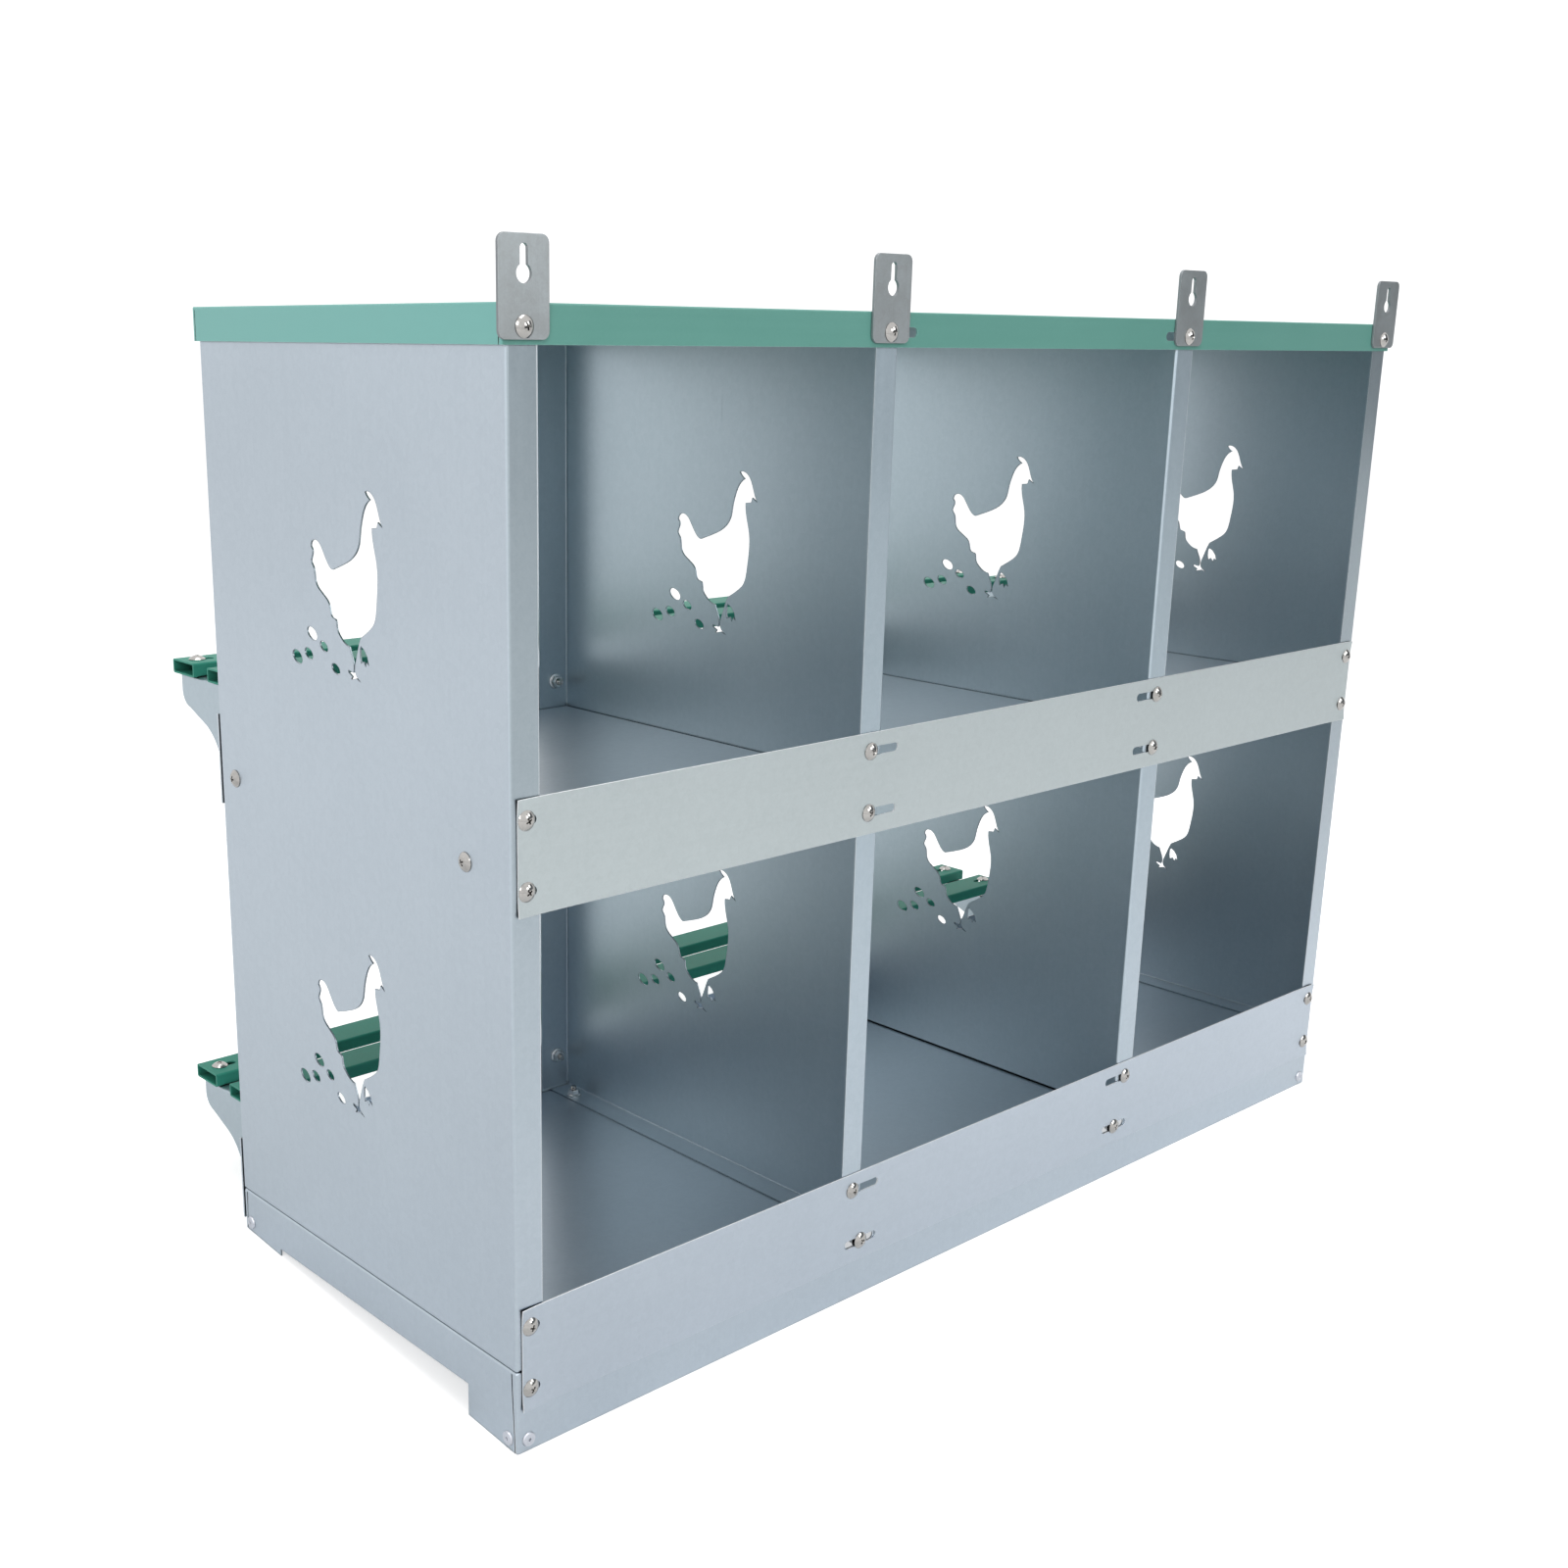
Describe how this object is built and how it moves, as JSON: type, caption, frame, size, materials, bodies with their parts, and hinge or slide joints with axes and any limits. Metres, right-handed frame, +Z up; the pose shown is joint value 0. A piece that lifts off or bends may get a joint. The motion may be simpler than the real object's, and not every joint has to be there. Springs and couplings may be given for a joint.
{
  "type": "poultry nesting box",
  "caption": "Hanging nesting box of folded galvanised sheet: open nests on two levels, perches in front, a lid, and keyhole tabs at the rear.",
  "frame": {"origin": "middle of the whole object's footprint, at the lowest edge of the feet", "axes": "+X along the row of nests, +Y to the rear, towards the wall, +Z up"},
  "size_m": [0.913, 0.4271, 0.6995],
  "materials": {
    "galvanised_sheet": "galvanised, satin",
    "galvanised_rail": "galvanised, satin",
    "green_lid_paint": "semi-gloss coating",
    "tab_steel": "galvanised, matt",
    "green_perch_paint": "semi-gloss coating",
    "stainless_screw": "polished",
    "zinc_nut": "zinc plated",
    "rivet_aluminium": "satin"
  },
  "bodies": {
    "root": {"base_tray": "galvanised_sheet", "side_panel_left": "galvanised_sheet", "side_panel_right": "galvanised_sheet", "partition_left": "galvanised_sheet", "partition_right": "galvanised_sheet", "shelf_left": "galvanised_sheet", "shelf_middle": "galvanised_sheet", "shelf_right": "galvanised_sheet", "corner_angle_rear_left": "galvanised_sheet", "corner_angle_rear_right": "galvanised_sheet", "corner_angle_front_left": "galvanised_sheet", "corner_angle_front_right": "galvanised_sheet", "perch_bracket_lower_left": "galvanised_sheet", "perch_bracket_lower_right": "galvanised_sheet", "perch_bracket_upper_left": "galvanised_sheet", "perch_bracket_upper_right": "galvanised_sheet", "rail_rear_bottom": "galvanised_rail", "rail_rear_middle": "galvanised_rail", "rail_front_bottom": "galvanised_rail", "rail_front_middle": "galvanised_rail", "lid": "green_lid_paint", "hanger_tab_outer_left": "tab_steel", "hanger_tab_inner_left": "tab_steel", "hanger_tab_inner_right": "tab_steel", "hanger_tab_outer_right": "tab_steel", "perch_lower_outer": "green_perch_paint", "perch_lower_inner": "green_perch_paint", "perch_upper_outer": "green_perch_paint", "perch_upper_inner": "green_perch_paint", "lid_rear_screws": "stainless_screw", "lid_front_screws": "stainless_screw", "rear_rail_screws": "stainless_screw", "front_rail_screws": "stainless_screw", "shelf_screws": "stainless_screw", "floor_screws": "stainless_screw", "perch_screws": "stainless_screw", "lid_rear_nuts": "zinc_nut", "lid_front_nuts": "zinc_nut", "rear_rail_nuts": "zinc_nut", "front_rail_nuts": "zinc_nut", "shelf_nuts": "zinc_nut", "floor_nuts": "zinc_nut", "perch_nuts": "zinc_nut", "corner_rivets": "rivet_aluminium"}
  },
  "joints": []
}
